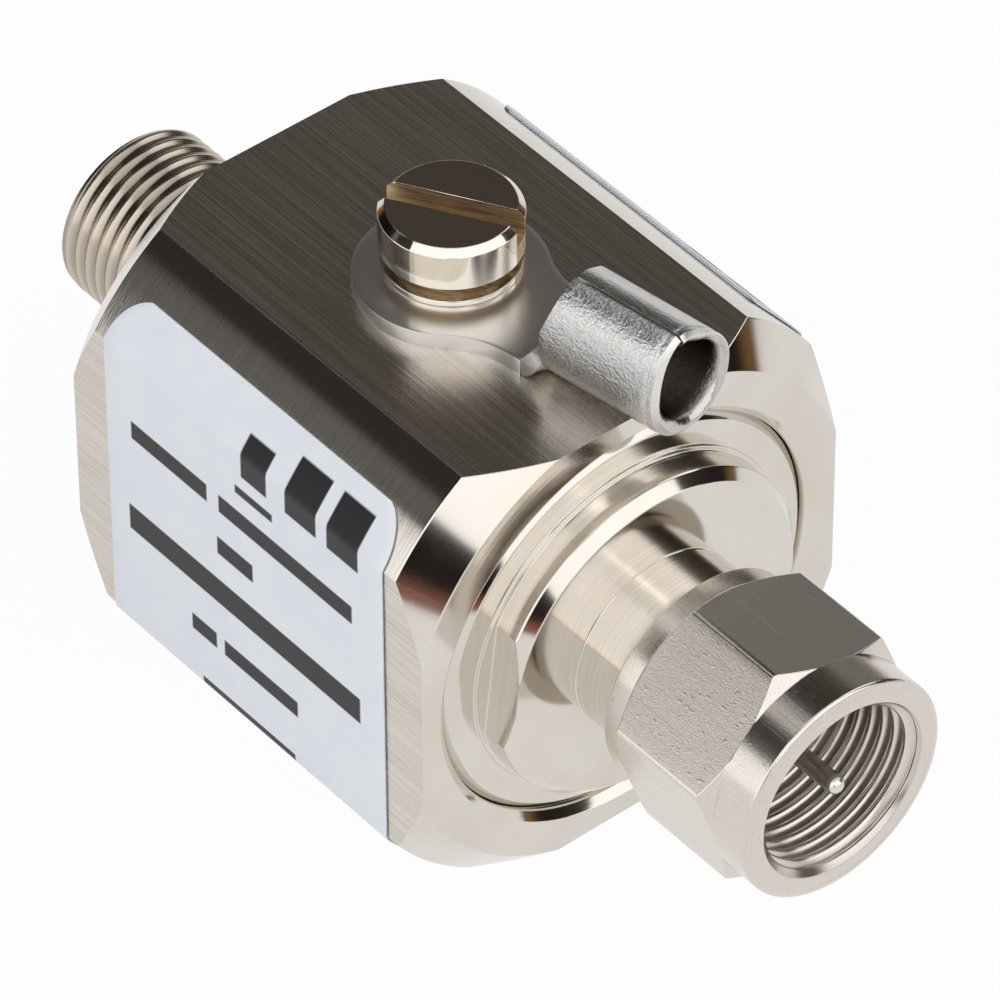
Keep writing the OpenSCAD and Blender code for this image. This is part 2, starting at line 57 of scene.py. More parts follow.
# Places read from the frame
BODY_LOW, BODY_HIGH = box_mm("body")
NUT_LOW, NUT_HIGH = box_mm("coupling_nut")
JACK_LOW, JACK_HIGH = box_mm("jack_barrel")
SCREW_LOW, SCREW_HIGH = box_mm("earth_screw")
WASHER_LOW, WASHER_HIGH = box_mm("screw_washer")
LUG_LOW = box_mm("ring_lug")[0]
PIN_LOW, PIN_HIGH = box_mm("centre_conductor")
FRONT, BACK = BODY_HIGH[0], BODY_LOW[0]
HALF_FLATS = (BODY_HIGH[1] - BODY_LOW[1]) / 2
AXIS = np.array([0, 0, (BODY_LOW[2] + BODY_HIGH[2]) / 2])
SCREW_AT = (SCREW_LOW + SCREW_HIGH) / 2

# Body
BODY_R = 15.35
BODY_CHAMFER = 1.9
MOUTH_R = 11.12
CHAMBER_R = 9.4
REAR_WALL = 4.3
SHANK_R = 4
FIT = 0.02
EDGE = 0.07
FLAT_EDGE_SOFT = 0.001

# Plug flange, lengths from the body's front plane
COLLAR_R = 11.1
COLLAR_SINK = 0.3
COLLAR_T = 2.2
COLLAR_BEVEL = 0.45
STEP_R = 9.35
STEP_H = 0.15
DISC_R = 9.1
DISC_FACE = 1.8
DISC_CHAMFER = 0.55
SPANNER_HALF = 8.5
FLANGE_TURN = -6.6
SPIGOT_LEN = 2.6
NECK_R = 4.9
NECK_LEN = 3
POST_R = 3.7
POST_LEN = 3.2
FLANGE_BORE_R = 2.6
INSULATOR_R = 4.52
INSULATOR_T = 1

# Threads
PITCH = 25.4 / 32
PITCH_STEPS = 20
FLANK_LEAN = np.tan(np.radians(36))
NUT_THREAD_DEPTH = 0.42
NUT_CREST_SHARE = 0.2
NUT_THREAD_AT = 0.33
NUT_CREST_R = 4.36
JACK_THREAD_DEPTH = 0.29
JACK_WAVE = 0.14
JACK_THREAD_AT = 0.25
JACK_R = (JACK_HIGH[2] - JACK_LOW[2]) / 2
JACK_BORE_R = 3.3
JACK_CHAMFER = 0.2
JACK_FACE_STEP = 0.1

# Coupling nut
NUT_HALF = 5.9
NUT_CORNER_AT = 106.6
NUT_BACK_R = 5.8
NUT_BACK_LEN = 1.15
NUT_NOSE_R = 6
NUT_NOSE_LEN = 2.3
NUT_NOSE_ROUND = 0.25
NUT_LIP_ROUND = 0.5
NUT_RISE = np.tan(np.radians(33))
NUT_MOUTH_R = 4.85
NUT_LIP = 1.4
NUT_LIP_R = 3.76
LIP_LINE = 0.05
NUT_EDGE = 0.05
NUT_CORNER_CUT = 0.05
NUT_CORNER_SOFT = 0.02

# Centre conductor
PIN_R = 0.5
PIN_ROOT_R = 0.75
CONDUCTOR_R = 1.6
TAIL_R = 0.85
PIN_EDGE = 0.03

# Earth screw
HEAD_R = (SCREW_HIGH[0] - SCREW_LOW[0]) / 2
HEAD_H = 2.3
HEAD_CHAMFER = 0.36
SHOULDER_R = 2.6
SHOULDER_H = 0.8
WASHER_R = (WASHER_HIGH[0] - WASHER_LOW[0]) / 2
SCREW_R = 2
SLOT_HALF = 0.6
SLOT_DEPTH = 1.2
SLOT_TURN = 31
SCREW_EDGE = 0.035
WASHER_EDGE = 0.06
WASHER_FIT = 0.06

# Ring lug, lengths from the ring's centre along the lug
LUG_T = 0.85
LUG_RING_R = 4.73
LUG_HOLE_R = 2.7
LUG_SLIP = np.array([0.4, -0.5, 0])
LUG_TURN = 9
LUG_NECK_HALF = 2.75
LUG_FILLET = 5
BARREL_START = 8.2
BARREL_LEN = 6.9
BARREL_R = 2.85
SHEET_R = BARREL_R - LUG_T / 2
BARREL_SHIFT = 0.3
LUG_ROLL_LEN = 1.5
SEAM_TURN = 16
SEAM_GAP = 0.12
SEAM_RISE = 0.9
SEAM_LOW_RISE = 0.6
SEAM_FADE = 18
SEAM_LOW_FADE = 60
BARREL_PRESS = 0.5
REAR_SLANT = 21
MOUTH_BEVEL = 0.4
MOUTH_RIM = 0.45
LUG_EDGE = 0.16

# Middle of the crimp barrel's rear end
LUG_ALONG = np.array([np.cos(np.radians(LUG_TURN)), np.sin(np.radians(LUG_TURN)), 0])
LUG_ACROSS = np.array([-LUG_ALONG[1], LUG_ALONG[0], 0])
BARREL_AT = (
    np.array([SCREW_AT[0], SCREW_AT[1], LUG_LOW[2] + BARREL_R])
    + (LUG_SLIP[0] + BARREL_START) * LUG_ALONG
    + (LUG_SLIP[1] - BARREL_SHIFT) * LUG_ACROSS
)

# Labels
LABEL_LEN = 20.9
LABEL_REACH = 45
LABEL_LIFT = 0.02
LABEL_T = 0.1
LABEL_CORNER = 2.1
LABEL_COLUMNS = 31
# Plain bars on the labels: two ends along X, then two heights
LABEL_BARS = [
    (-10.2, -4.4, 16.4, 17.5), (-3.5, 6.5, 16.4, 17.5), (-3.7, -1.0, 13.6, 14.7), (-10.6, 7.0, 10.3, 11.9),
    (-5.9, -4.0, 7.1, 8.1), (-3.4, 2.2, 7.1, 8.1), (-5.2, 1.9, 3.4, 4.4), (-2.2, 0.6, 18.6, 19.1),
    (-1.7, 0.2, 19.9, 22.3), (1.6, 3.9, 20.0, 22.9), (4.7, 7.0, 20.0, 22.9),
]
BAR_BLUR = 0.06


def rounded(points, radius, steps=4):
    """Outline with rounded corners: each corner becomes a quadratic curve between the points that lie
    radius away from it along its two legs, or less than half a leg where the leg is short."""
    before, after = np.roll(points, 1, axis=0), np.roll(points, -1, axis=0)

    def leg(other):
        run = other - points
        length = np.linalg.norm(run, axis=-1, keepdims=True)
        return points + run * np.minimum(radius / np.maximum(length, 1e-9), 0.45)

    t = np.linspace(0, 1, steps)[:, None, None, None]
    curve = (1 - t) ** 2 * leg(before) + 2 * t * (1 - t) * points + t**2 * leg(after)
    return np.swapaxes(curve, 0, 1).reshape(-1, *points.shape[1:])


def columns(corners, angles):
    """Corner list of (along, radius) pairs, numbers or arrays over the angles, as one array per corner."""
    def row(value):
        return np.broadcast_to(np.asarray(value, float), angles.shape)

    return np.array([[row(value) for value in pair] for pair in corners]).swapaxes(1, 2)


def about_coax(profile, angles):
    """Points of a profile turned about the coax axis: (x, r cos a, r sin a), with a from +Y towards +Z."""
    a = np.radians(angles)
    x, r = profile[..., 0], profile[..., 1]
    return np.stack([x, r * np.cos(a), r * np.sin(a)], -1) + AXIS


def about_screw(profile, angles):
    """Points of a profile turned about the earth screw's axis: (r cos a, r sin a, z), a from +X to +Y."""
    a = np.radians(angles)
    z, r = profile[..., 0], profile[..., 1]
    return np.stack([SCREW_AT[0] + r * np.cos(a), SCREW_AT[1] + r * np.sin(a), z], -1)


def grid_quads(rows, cols, loop_rows=True, loop_cols=True):
    """Corner indices of the quads of a grid of rows by cols points, wrapped round where it closes."""
    i = np.arange(rows if loop_rows else rows - 1)[:, None]
    j = np.arange(cols if loop_cols else cols - 1)[None, :]
    i2, j2 = (i + 1) % rows, (j + 1) % cols
    return np.stack([i * cols + j, i2 * cols + j, i2 * cols + j2, i * cols + j2], -1).reshape(-1, 4)


def weld(points, quads):
    """Merges points that coincide, and splits the faces into whole quads and the triangles that are left."""
    _, first, inverse = np.unique(np.round(points, 5), axis=0, return_index=True, return_inverse=True)
    quads = inverse.reshape(-1)[quads]
    same = quads == np.roll(quads, -1, axis=1)
    whole = quads[same.sum(1) == 0]
    whole = whole[(whole[:, 0] != whole[:, 2]) & (whole[:, 1] != whole[:, 3])]
    short = quads[same.sum(1) == 1]
    keep = ~same[same.sum(1) == 1]
    return points[first], whole, short[keep].reshape(-1, 3)


def face_areas(points, whole, thin):
    """Area vectors of the quads, half the cross product of their diagonals, and of the triangles."""
    q, t = points[whole], points[thin]
    quad_areas = np.cross(q[:, 2] - q[:, 0], q[:, 3] - q[:, 1]) / 2
    return np.concatenate([quad_areas, np.cross(t[:, 1] - t[:, 0], t[:, 2] - t[:, 0]) / 2])


def piece(name, points, quads, finishes, body, nodes, pick=None):
    """Mesh piece from points in millimetres and quads: welded, turned to face outwards, with each point's
    normal the sum of the area vectors around it, so that broad faces stay flat up to their rounded edges."""
    points, whole, thin = weld(points.reshape(-1, 3), quads)
    area = face_areas(points, whole, thin)
    middle = np.concatenate([points[whole].mean(1), points[thin].mean(1)])
    if np.sum(area * middle) < 0:
        whole, thin, area = whole[:, ::-1], thin[:, ::-1], -area
    normal = np.zeros_like(points)
    for corner in range(4):
        np.add.at(normal, whole[:, corner], area[: len(whole)])
    for corner in range(3):
        np.add.at(normal, thin[:, corner], area[len(whole) :])
    normal /= np.maximum(np.linalg.norm(normal, axis=1, keepdims=True), 1e-12)
    mesh = bpy.data.meshes.new(name)
    mesh.from_pydata((points * MM).tolist(), [], whole.tolist() + thin.tolist())
    mesh.polygons.foreach_set("use_smooth", np.ones(len(mesh.polygons), bool))
    for finish in finishes:
        mesh.materials.append(finish)
    if pick is not None:
        unit = area / np.maximum(np.linalg.norm(area, axis=1, keepdims=True), 1e-12)
        mesh.polygons.foreach_set("material_index", pick(middle, unit).astype(np.int32))
    mesh.normals_split_custom_set_from_vertices(normal.tolist())
    obj = bpy.data.objects.new(name, mesh)
    bpy.context.scene.collection.objects.link(obj)
    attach(obj, body)
    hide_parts(*nodes)
    return obj


class Value:
    """A shader socket. Arithmetic between such sockets and numbers adds Math nodes to its tree."""

    def __init__(self, finish, socket):
        self.finish, self.socket = finish, socket

    def math(self, operation, *values):
        return self.finish.node("Math", {"operation": operation}, dict(enumerate(values)))

    def __add__(self, other):
        return self.math("ADD", self, other)

    def __radd__(self, other):
        return self.math("ADD", other, self)

    def __sub__(self, other):
        return self.math("SUBTRACT", self, other)

    def __rsub__(self, other):
        return self.math("SUBTRACT", other, self)

    def __mul__(self, other):
        return self.math("MULTIPLY", self, other)

    def __rmul__(self, other):
        return self.math("MULTIPLY", other, self)

    def absolute(self):
        return self.math("ABSOLUTE", self)

    def greater(self, other):
        """The greater of this value and another."""
        return self.math("MAXIMUM", self, other)

    def step(self, low, high):
        """0 below low and 1 above high, with a smooth rise between them."""
        return self.finish.node("MapRange", {"interpolation_type": "SMOOTHSTEP"}, {0: self, 1: low, 2: high})


class Finish:
    """A node tree that is written as expressions: a material's, or the world's."""

    def __init__(self, owner):
        owner.use_nodes = True
        self.tree = owner.node_tree
        self.tree.nodes.clear()

    def node(self, kind, settings=None, inputs=None, output=0):
        """Adds a node of a type, makes its settings, sets or links its sockets, and returns one output."""
        made = self.tree.nodes.new("ShaderNode" + kind)
        for key, value in (settings or {}).items():
            if key == "stops":
                for _ in range(len(value) - 2):
                    made.color_ramp.elements.new(0.5)
                for element, (place, colour) in zip(made.color_ramp.elements, value):
                    element.position, element.color = place, (*colour, 1)
            else:
                setattr(made, key, value)
        for key, value in (inputs or {}).items():
            if isinstance(value, Value):
                self.tree.links.new(value.socket, made.inputs[key])
            else:
                made.inputs[key].default_value = value
        return Value(self, made.outputs[output])

    def stretched(self, vector, scale):
        """A vector with each axis multiplied by its scale."""
        factors = [float(s) for s in scale]
        return self.node("VectorMath", {"operation": "MULTIPLY"}, {0: vector, 1: factors})

    def place(self, centre=(0, 0, 0), scale=(1, 1, 1)):
        """Object coordinates in millimetres from a centre, each axis then multiplied by its scale."""
        at = self.stretched(self.node("TexCoord", output="Object"), [1 / MM] * 3)
        at = self.node("VectorMath", {"operation": "SUBTRACT"}, {0: at, 1: [float(c) for c in centre]})
        return self.stretched(at, scale)

    def turned(self, vector, angle):
        """A vector turned about Z."""
        inputs = {"Vector": vector, "Angle": np.radians(angle)}
        return self.node("VectorRotate", {"rotation_type": "Z_AXIS"}, inputs)

    def noise(self, vector, scale=1.0, detail=2.0, roughness=0.5):
        """Noise from 0 to 1 over a vector, with about scale grains to the unit."""
        inputs = {"Vector": vector, "Scale": scale, "Detail": detail, "Roughness": roughness}
        return self.node("TexNoise", {}, inputs)

    def lines(self, distance, detail):
        """Noise over one distance, the same wherever the distance is the same."""
        inputs = {"W": distance, "Scale": 1.0, "Detail": detail}
        return self.node("TexNoise", {"noise_dimensions": "1D"}, inputs)

    def length(self, vector):
        return self.node("VectorMath", {"operation": "LENGTH"}, {0: vector}, "Value")

    def part(self, vector, axis):
        return self.node("SeparateXYZ", {}, {0: vector}, axis)

    def mix(self, share, low, high):
        """Colour low where share is 0 and colour high where it is 1."""
        def paint(colour):
            return colour if isinstance(colour, Value) else (*colour, 1)
        return self.node("Mix", {"data_type": "RGBA"}, {0: share, 6: paint(low), 7: paint(high)}, 2)

    def bump(self, height, depth):
        """Normal of a surface raised by height, a value from 0 to 1, times depth in millimetres."""
        inputs = {"Height": height, "Distance": depth * MM, "Strength": 1.0}
        return self.node("Bump", {}, inputs, "Normal")

    def end(self, shader, kind):
        """Links a shader to the tree's output, a Material's or a World's."""
        output = self.tree.nodes.new("ShaderNodeOutput" + kind)
        self.tree.links.new(shader.socket, output.inputs[0])

    def surface(self, **sockets):
        """Ends the tree in a Principled surface; an underscore in a name stands for a space."""
        inputs = {key.replace("_", " "): value for key, value in sockets.items()}
        self.end(self.node("BsdfPrincipled", {}, inputs), "Material")

    def metal(self, colour, rough, normal):
        """Ends the tree in a bare metal surface."""
        self.surface(Base_Color=colour, Metallic=1.0, Roughness=rough, Normal=normal)


NICKEL = (0.72, 0.675, 0.615)
NICKEL_DEEP = (0.60, 0.555, 0.495)
SPECK = (0.85, 0.85, 0.84)


def material(build):
    """Makes the material that a function describes, under the function's name."""
    made = bpy.data.materials.new(build.__name__)
    build(Finish(made))
    return made


def dust(f, colour, size=2.2, share=0.035):
    """Sparse pale specks over a colour: the cores of the few cells whose own random value is below share."""
    cell = {"Vector": f.place(), "Scale": size}
    near = f.node("TexVoronoi", {}, cell, "Distance")
    own = f.node("TexVoronoi", {}, cell, "Color")
    chosen = 1 - f.part(own, 0).step(share, share + 0.005)
    return f.mix(chosen * (1 - near.step(0.06, 0.1)), colour, SPECK)


def coax_radius(f):
    """Distance from the coax axis."""
    return f.length(f.stretched(f.place(centre=AXIS), (0, 1, 1)))


def milled_flat(f):
    """Plated flat brushed along X: streaks are noise drawn out along the brushing, at three widths."""
    broad = f.noise(f.place(scale=(0.04, 2.4, 2.4)), detail=3)
    fine = f.noise(f.place(scale=(0.09, 9, 9)), detail=3)
    hair = f.noise(f.place(scale=(0.2, 24, 24)), detail=2)
    streak = 0.25 * broad + 0.45 * fine + 0.3 * hair
    colour = f.mix(streak.step(0.4, 0.6), NICKEL_DEEP, NICKEL)
    f.metal(dust(f, colour), 0.18 + 0.16 * fine, f.bump(streak, 0.011))


def turned_strip(f):
    """Plated bar with fine lines round it: noise that hardly changes except along X, at two widths."""
    fine = f.noise(f.place(scale=(7, 0.1, 0.1)), detail=3)
    hair = f.noise(f.place(scale=(18, 0.4, 0.4)), detail=2)
    lines = 0.4 * fine + 0.6 * hair
    colour = f.mix(lines.step(0.3, 0.7), NICKEL_DEEP, NICKEL)
    f.metal(dust(f, colour), 0.09 + 0.05 * hair, f.bump(lines, 0.003))


def faced_end(f):
    """Bright faced plate: very fine rings about the coax axis, noise over the radius plus the distance
    along it."""
    lines = f.lines((coax_radius(f) + f.part(f.place(), 0)) * 5, detail=3)
    cloud = f.noise(f.place(), scale=0.25, detail=3)
    colour = f.mix(cloud.step(0.3, 0.7), (0.70, 0.655, 0.59), (0.74, 0.70, 0.645))
    f.metal(dust(f, colour, share=0.012), 0.07 + 0.05 * cloud, f.bump(lines, 0.0012))


def turned_neck(f):
    """Bright plate of the flange's disc and neck, left by the lathe with fine lines round it."""
    lines = f.noise(f.place(scale=(9, 0.15, 0.15)), detail=3)
    cloud = f.noise(f.place(), scale=0.6, detail=3)
    colour = f.mix(lines.step(0.3, 0.7), (0.73, 0.69, 0.635), (0.79, 0.755, 0.71))
    f.metal(dust(f, colour, share=0.012), 0.11 + 0.06 * cloud, f.bump(lines, 0.002))


def satin_nut(f):
    """Satin plate of the nut: a fine even pebble, a few sparse dents, and shallow scratches drawn out
    along X."""
    pebble = f.noise(f.place(), scale=11, detail=3, roughness=0.6)
    dent = f.noise(f.place(), scale=3.2, detail=1).step(0.66, 0.74)
    scratch = f.noise(f.place(scale=(0.12, 11, 11)), detail=2).step(0.64, 0.74)
    colour = f.mix(pebble.step(0.3, 0.7), (0.68, 0.63, 0.575), (0.75, 0.70, 0.645))
    height = 0.6 * pebble + 0.05 * scratch + 0.4 * dent
    f.metal(colour, 0.16 + 0.08 * pebble + 0.18 * scratch, f.bump(height, 0.0075))


def thread_plate(f, root, crest, root_shade, bright):
    """Plate over a thread, from a darker colour at the roots' radius to a bright one at the crests', painted
    shade in the thread's grooves, a little clouded."""
    cloud = f.noise(f.place(), scale=0.8, detail=3)
    height = f.node("MapRange", {}, {0: coax_radius(f), 1: root, 2: crest})
    # Painted shade: the colour darkens from the crests' radius to the roots'.
    f.metal(f.mix(height, root_shade, bright), 0.18 + 0.12 * cloud, f.bump(cloud, 0.004))


def jack_thread(f):
    """Brownish plate on the jack, with painted shade towards its thread's roots."""
    thread_plate(f, JACK_R - JACK_WAVE, JACK_R, (0.42, 0.36, 0.29), (0.61, 0.55, 0.47))


def nut_thread(f):
    """Paler plate inside the nut, where the roots lie outwards, with painted shade towards them."""
    root = NUT_CREST_R + NUT_THREAD_DEPTH
    thread_plate(f, root, NUT_CREST_R, (0.60, 0.555, 0.50), (0.74, 0.70, 0.645))


def screw_plate(f):
    """Bright screw plate with hair scratches across the top, darker and brassy in the slot and in the groove
    under the head: painted shade in these recesses, where the surface is also rougher. Turned to the slot's
    heading, a place is in the slot where its distance across is within the slot's half width; streaks follow
    the slot."""
    at = f.place(centre=SCREW_AT)
    height = f.part(f.place(), 2)
    hair = f.noise(f.place(scale=(0.6, 9, 2)), detail=2)
    turned = f.turned(at, -SLOT_TURN)
    streak = f.noise(f.stretched(turned, (0.5, 7, 7)), detail=3)
    aside = f.part(turned, 1).absolute()
    across = f.length(f.stretched(at, (1, 1, 0)))
    top = SCREW_HIGH[2]
    under = top - HEAD_H
    # Masks of the slot and of the groove under the head, where the painted shade goes.
    slot = (1 - aside.step(SLOT_HALF + 0.01, SLOT_HALF + 0.03)) * (1 - height.step(top - 0.12, top - 0.05))
    groove = (1 - across.step(WASHER_R - 0.5, WASHER_R - 0.3)) * (1 - height.step(under - 0.04, under + 0.02))
    inside = slot.greater(groove)
    # Painted shade: a darker brassy colour in these recesses.
    recess_shade = f.mix(streak.step(0.3, 0.7), (0.38, 0.285, 0.17), (0.72, 0.585, 0.41))
    colour = f.mix(inside, (0.76, 0.715, 0.65), recess_shade)
    f.metal(dust(f, colour, share=0.02), 0.07 + 0.05 * hair + 0.38 * inside, f.bump(hair, 0.0012))


def tin_plate(f):
    """Matte tin: smooth and grey on the ring, with a coarse bright crystal grain on the outside of the crimp
    barrel. The barrel's plate is darker than the ring's, painted shade on the same tin, and its bore is
    darker still, painted shade inside it. The distance from the barrel's axis tells inside from outside."""
    past = f.part(f.place(centre=SCREW_AT), 0).step(BARREL_START - 0.2, BARREL_START + 1.2)
    along = f.turned(f.place(centre=BARREL_AT), -LUG_TURN)
    across = f.length(f.stretched(along, (0, 1, 1)))
    bore = SHEET_R - LUG_T / 2
    # Mask of the barrel's bore, where the painted shade inside it goes.
    inside = past * (1 - across.step(bore + 0.03, bore + 0.15))
    outside = past * (1 - f.part(along, 0).step(BARREL_LEN - 0.3, BARREL_LEN - 0.05))
    cell = {"Vector": f.place(scale=(5, 7, 7)), "Scale": 1.0, "Smoothness": 0.2}
    grain = f.node("TexVoronoi", {"feature": "SMOOTH_F1"}, cell, "Distance")
    fine = f.noise(f.place(), scale=8, detail=4, roughness=0.7)
    broad = f.noise(f.place(scale=(1.2, 2.4, 2.4)), detail=3)
    height = fine * (0.05 + 0.55 * outside) + grain * outside * 0.4 + broad * past * 0.9
    # Painted shade: the barrel's plate is darker than the ring's, though both are the same tin.
    plate = f.mix(past, (0.86, 0.84, 0.815), (0.56, 0.555, 0.545))
    bright = f.mix(fine.step(0.35, 0.7) * outside * 0.5, plate, (0.86, 0.86, 0.855))
    # Painted shade: a dark colour inside the barrel's bore.
    colour = f.mix(inside, bright, (0.34, 0.31, 0.285))
    f.metal(colour, 0.26 + 0.06 * fine - 0.13 * past, f.bump(height, 0.04))


def stamped_edge(f):
    """Rough tin on the sheet's cut edges."""
    grain = f.noise(f.place(), scale=7, detail=3)
    colour = f.mix(grain, (0.74, 0.73, 0.715), (0.84, 0.835, 0.82))
    f.metal(colour, 0.28 + 0.1 * grain, f.bump(grain, 0.012))


def label_film(f):
    """White vinyl film, a little cool, with plain dark bars. Each bar is the product of two steps: one of the
    distance from its middle along X, one of the distance from it along Z."""
    at = f.place()
    x, z = f.part(at, 0), f.part(at, 2)

    def within(value, low, high):
        half = (high - low) / 2
        far = (value - (low + high) / 2).absolute()
        return 1 - far.step(half - BAR_BLUR, half + BAR_BLUR)

    bars = [within(x, x0, x1) * within(z, z0, z1) for x0, x1, z0, z1 in LABEL_BARS]
    ink = sum(bars[1:], bars[0])
    cloud = f.noise(at, scale=0.5, detail=3)
    film = f.mix(cloud.step(0.3, 0.7), (0.84, 0.89, 0.955), (0.87, 0.915, 0.97))
    colour = f.mix(ink, film, (0.016, 0.017, 0.019))
    rough = 0.36 + 0.08 * cloud
    f.surface(Base_Color=colour, Roughness=rough, Specular_IOR_Level=0.3, Normal=f.bump(cloud, 0.01))


def pin_with_tip_highlight(f):
    """Plated pin, dark grey-brown with streaks along it, and a painted highlight on its round tip: a paler
    colour there.
    """
    streak = f.noise(f.place(scale=(0.8, 8, 8)), detail=2)
    shaft = f.mix(streak.step(0.3, 0.7), (0.36, 0.31, 0.26), (0.56, 0.51, 0.45))
    # Painted highlight: the tip is paler than the shaft.
    tip = f.part(f.place(), 0).step(PIN_HIGH[0] - 0.6, PIN_HIGH[0] - 0.45)
    f.metal(f.mix(tip, shaft, (0.74, 0.72, 0.69)), 0.16 + 0.1 * streak, f.bump(streak, 0.001))


def white_insulator(f):
    """Waxy white plastic with faint turning rings."""
    lines = f.lines(coax_radius(f) * 9, detail=2)
    colour = f.mix(lines, (0.80, 0.79, 0.75), (0.88, 0.87, 0.84))
    f.surface(Base_Color=colour, Roughness=0.42 + 0.08 * lines, Normal=f.bump(lines, 0.006))


def contact_bronze(f):
    """Spring bronze with a faint grain."""
    grain = f.noise(f.place(), scale=6, detail=3)
    colour = f.mix(grain, (0.70, 0.50, 0.24), (0.82, 0.64, 0.36))
    f.metal(colour, 0.2 + 0.12 * grain, f.bump(grain, 0.004))


def inner_steel(f):
    """Plain bright steel of the ring and electrodes."""
    grain = f.noise(f.place(), scale=6, detail=3)
    colour = f.mix(grain, (0.48, 0.47, 0.45), (0.60, 0.59, 0.57))
    f.metal(colour, 0.26 + 0.12 * grain, f.bump(grain, 0.004))


def tube_ceramic(f):
    """Unglazed alumina with a fine speckle."""
    grain = f.noise(f.place(), scale=9, detail=4)
    colour = f.mix(grain, (0.78, 0.74, 0.67), (0.88, 0.85, 0.79))
    f.surface(Base_Color=colour, Roughness=0.6 + 0.1 * grain, Normal=f.bump(grain, 0.006))


def seal_rubber(f):
    """Black rubber with a soft bloom."""
    bloom = f.noise(f.place(), scale=2, detail=3)
    colour = f.mix(bloom, (0.012, 0.012, 0.012), (0.03, 0.03, 0.03))
    f.surface(Base_Color=colour, Roughness=0.5 + 0.15 * bloom, Normal=f.bump(bloom, 0.006))


def body_angles():
    """Angles of the body's columns: even steps over each quarter, and close ones at the flats' edges."""
    edge = np.degrees(np.arccos(HALF_FLATS / BODY_R))
    start = np.degrees(np.arccos(HALF_FLATS / (BODY_R - BODY_CHAMFER)))
    near = np.array([-0.2, -0.05, -0.012, 0, 0.012, 0.05, 0.2])
    half = np.concatenate([np.linspace(0, 45, 46), edge + near, [start]])
    quarter = np.concatenate([half, -half])
    return np.unique(np.round(np.concatenate([quarter + 90 * k for k in range(4)]) % 360, 4))


def body_radius(angles):
    """Radius of the body's section: the lesser of the bar's radius and the flat's distance over the cosine,
    blended over a hair's width so that the edge is not knife sharp."""
    from_flat = (angles + 45) % 90 - 45
    flat = HALF_FLATS / np.cos(np.radians(from_flat))
    soft = FLAT_EDGE_SOFT
    return -soft * np.logaddexp(-flat / soft, -BODY_R / soft)


def make_body():
    """Turned and milled body: every column is a section of the chamfered bar, cut short by its flat."""
    angles = body_angles()
    r = body_radius(angles)
    face = np.minimum(r, BODY_R - BODY_CHAMFER)
    rim = MOUTH_R + COLLAR_BEVEL
    seat = FRONT - COLLAR_SINK - COLLAR_T
    wall = BACK + REAR_WALL
    bore = SHANK_R + FIT
    corners = [(FRONT - COLLAR_BEVEL, MOUTH_R), (FRONT, rim), (FRONT, face), (FRONT - (r - face), r),
               (BACK + (r - face), r), (BACK, face), (BACK, bore), (wall, bore), (wall, CHAMBER_R),
               (seat, CHAMBER_R), (seat, MOUTH_R)]
    profile = rounded(columns(corners, angles), EDGE)

    def pick(middle, unit):
        across = np.hypot(middle[:, 1], middle[:, 2] - AXIS[2])
        outside = (np.abs(unit[:, 0]) < 0.35) & (across > MOUTH_R + 1)
        on_flat = np.maximum(np.abs(unit[:, 1]), np.abs(unit[:, 2])) > 0.985
        return np.where(outside, np.where(on_flat, 0, 1), 2)

    finishes = [material(milled_flat), material(turned_strip), material(faced_end)]
    points, quads = about_coax(profile, angles), grid_quads(*profile.shape[:2])
    piece("turned_body", points, quads, finishes, "arrestor", ["body"], pick)
    return finishes[2]


def make_flange(finish):
    """Plug flange: a turned profile whose disc is cut short by two spanner flats."""
    corner = np.degrees(np.arccos(SPANNER_HALF / DISC_R))
    near = np.array([-0.5, -0.2, 0, 0.2, 0.5])
    edges = [FLANGE_TURN + k + s * corner + near for k in (0, 180) for s in (-1, 1)]
    angles = np.unique(np.round(np.concatenate([np.arange(0, 360, 1.5), *edges]) % 360, 4))
    from_flat = np.radians((angles - FLANGE_TURN + 90) % 180 - 90)
    disc = np.minimum(DISC_R, SPANNER_HALF / np.cos(from_flat))
    top = DISC_R - DISC_CHAMFER
    collar = FRONT - COLLAR_SINK
    seat = collar - COLLAR_T
    spigot = seat - SPIGOT_LEN
    face = FRONT + DISC_FACE
    neck = face + NECK_LEN
    end = neck + POST_LEN
    step = collar + STEP_H
    recess = spigot + INSULATOR_T
    corners = [(end, FLANGE_BORE_R), (end, POST_R), (neck, POST_R), (neck, NECK_R), (face, NECK_R),
               (face, top), (face - (disc - top), disc), (step, disc), (step, STEP_R), (collar, STEP_R),
               (collar, COLLAR_R - COLLAR_BEVEL), (collar - COLLAR_BEVEL, COLLAR_R), (seat, COLLAR_R),
               (seat, CHAMBER_R - FIT), (spigot, CHAMBER_R - FIT), (spigot, INSULATOR_R),
               (recess, INSULATOR_R), (recess, FLANGE_BORE_R)]
    profile = rounded(columns(corners, angles), EDGE)

    def pick(middle, unit):
        return (middle[:, 0] > collar) & (np.abs(unit[:, 0]) < 0.3)

    finishes = [finish, material(turned_neck)]
    points, quads = about_coax(profile, angles), grid_quads(*profile.shape[:2])
    piece("plug_flange_turned", points, quads, finishes, "arrestor", ["plug_flange"], pick)


def thread(x, angles, start):
    """Place from crest, 0, to root, 1, of a right-hand thread, whose turns are x / pitch - angle / 360."""
    phase = (x / PITCH - angles / 360 + start) % 1
    return 1 - np.abs(2 * phase - 1)


def sharp_thread(x, angles, depth, crest, start):
    """Depth of a cut thread: flat over the crest's share of the pitch, then a flank with softened ends."""
    fall = np.clip((thread(x, angles, start) - crest) * PITCH / (2 * depth * FLANK_LEAN), 0, 1)
    return depth * (0.55 * fall + 0.45 * fall * fall * (3 - 2 * fall))


def soft_thread(x, angles, depth, start):
    """Depth of a thread that is worn and plated round: half a cosine from crest to root."""
    return depth * (0.5 - 0.5 * np.cos(np.pi * thread(x, angles, start)))


